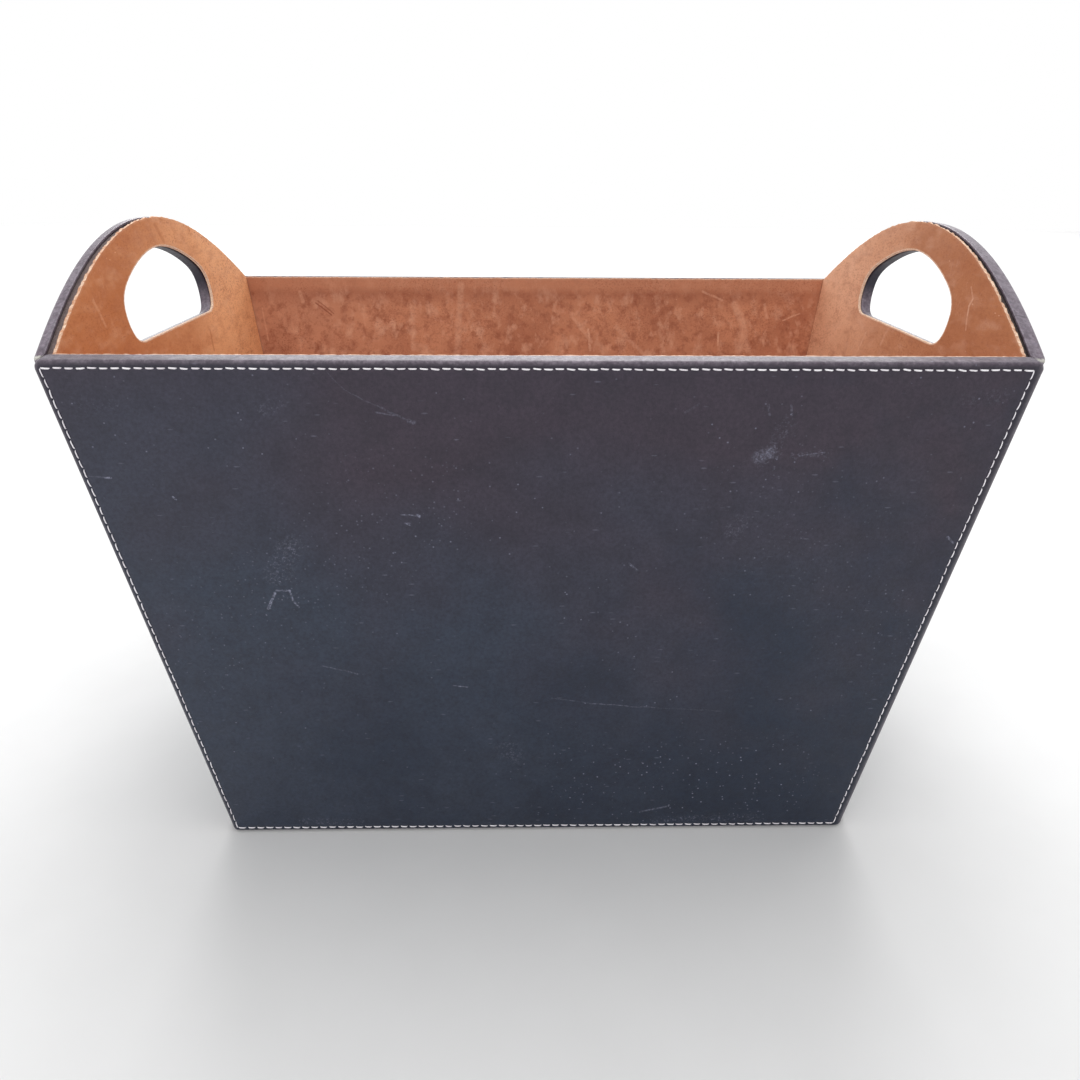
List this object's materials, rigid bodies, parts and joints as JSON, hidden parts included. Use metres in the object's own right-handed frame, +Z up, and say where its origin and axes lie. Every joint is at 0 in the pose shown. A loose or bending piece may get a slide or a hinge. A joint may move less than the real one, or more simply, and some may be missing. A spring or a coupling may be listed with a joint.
{
  "type": "magazine basket",
  "caption": "Flared open-topped basket for magazines, with leather covered board walls, a tan leather lining and an arched end with a hand hole at either side.",
  "frame": {"origin": "middle of the footprint, on the ground", "axes": "+Z up, +X along the long side towards one arched end, -Y towards the front"},
  "size_m": [0.4272, 0.2502, 0.3012],
  "materials": {
    "cover_leather": "smooth charcoal leather, half matt, with fine grain and light scuffs",
    "lining_leather": "mottled tan leather, matt, with pale raw edges",
    "board": "fibre board with dark stained edges",
    "thread": "white waxed thread",
    "brad": "bright steel wire"
  },
  "bodies": {
    "root": {"front_cover": "cover_leather", "back_cover": "cover_leather", "left_cover": "cover_leather", "right_cover": "cover_leather", "floor_sole": "cover_leather", "left_hand_hole_sleeve": "cover_leather", "right_hand_hole_sleeve": "cover_leather", "front_board": "board", "back_board": "board", "left_board": "board", "right_board": "board", "floor_board": "board", "front_lining": "lining_leather", "back_lining": "lining_leather", "left_lining": "lining_leather", "right_lining": "lining_leather", "floor_lining": "lining_leather", "front_stitching": "thread", "back_stitching": "thread", "left_stitching": "thread", "right_stitching": "thread", "front_left_brad_1": "brad", "front_left_brad_2": "brad", "front_left_brad_3": "brad", "front_right_brad_1": "brad", "front_right_brad_2": "brad", "front_right_brad_3": "brad", "back_left_brad_1": "brad", "back_left_brad_2": "brad", "back_left_brad_3": "brad", "back_right_brad_1": "brad", "back_right_brad_2": "brad", "back_right_brad_3": "brad", "front_floor_brad_1": "brad", "front_floor_brad_2": "brad", "front_floor_brad_3": "brad", "back_floor_brad_1": "brad", "back_floor_brad_2": "brad", "back_floor_brad_3": "brad", "left_floor_brad_1": "brad", "left_floor_brad_2": "brad", "right_floor_brad_1": "brad", "right_floor_brad_2": "brad"}
  },
  "joints": []
}
